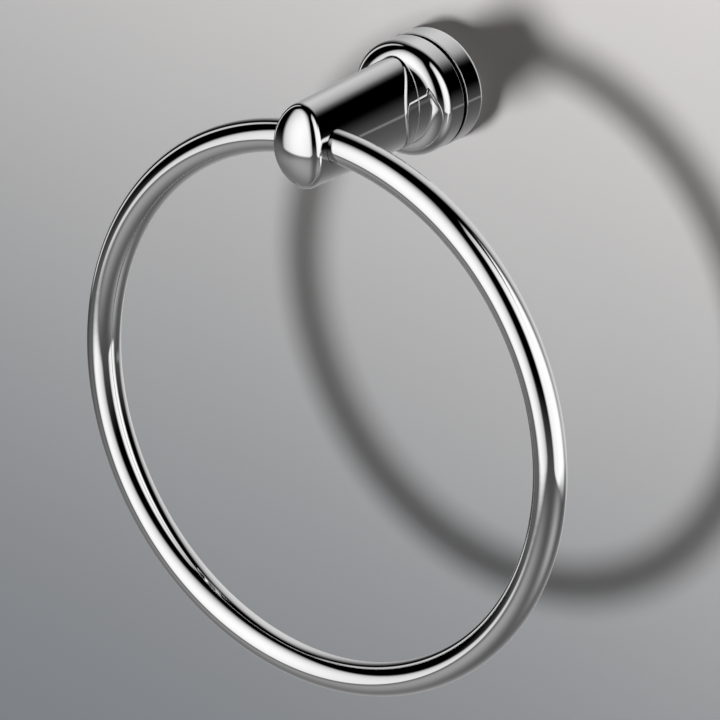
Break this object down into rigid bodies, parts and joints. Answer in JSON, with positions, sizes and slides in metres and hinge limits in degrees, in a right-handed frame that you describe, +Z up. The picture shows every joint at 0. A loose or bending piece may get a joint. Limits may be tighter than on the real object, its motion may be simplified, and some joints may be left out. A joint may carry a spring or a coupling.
{
  "type": "towel ring",
  "caption": "Wall-mounted towel ring: a round chrome tube ring fixed in an oval post on a domed round flange, for hanging a hand towel.",
  "frame": {"origin": "centre of the base's back face, on the wall", "axes": "+Y into the wall, -Y out along the post, +Z up, +X to the right as seen from the room"},
  "size_m": [0.176, 0.0682, 0.1885],
  "materials": {
    "polished_chrome": "mirror-polished chrome plate",
    "dark_steel": "dark oxidised steel set screw"
  },
  "bodies": {
    "root": {"ring": "polished_chrome", "post": "polished_chrome", "wall_base": "polished_chrome", "grub_screw": "dark_steel"}
  },
  "joints": []
}
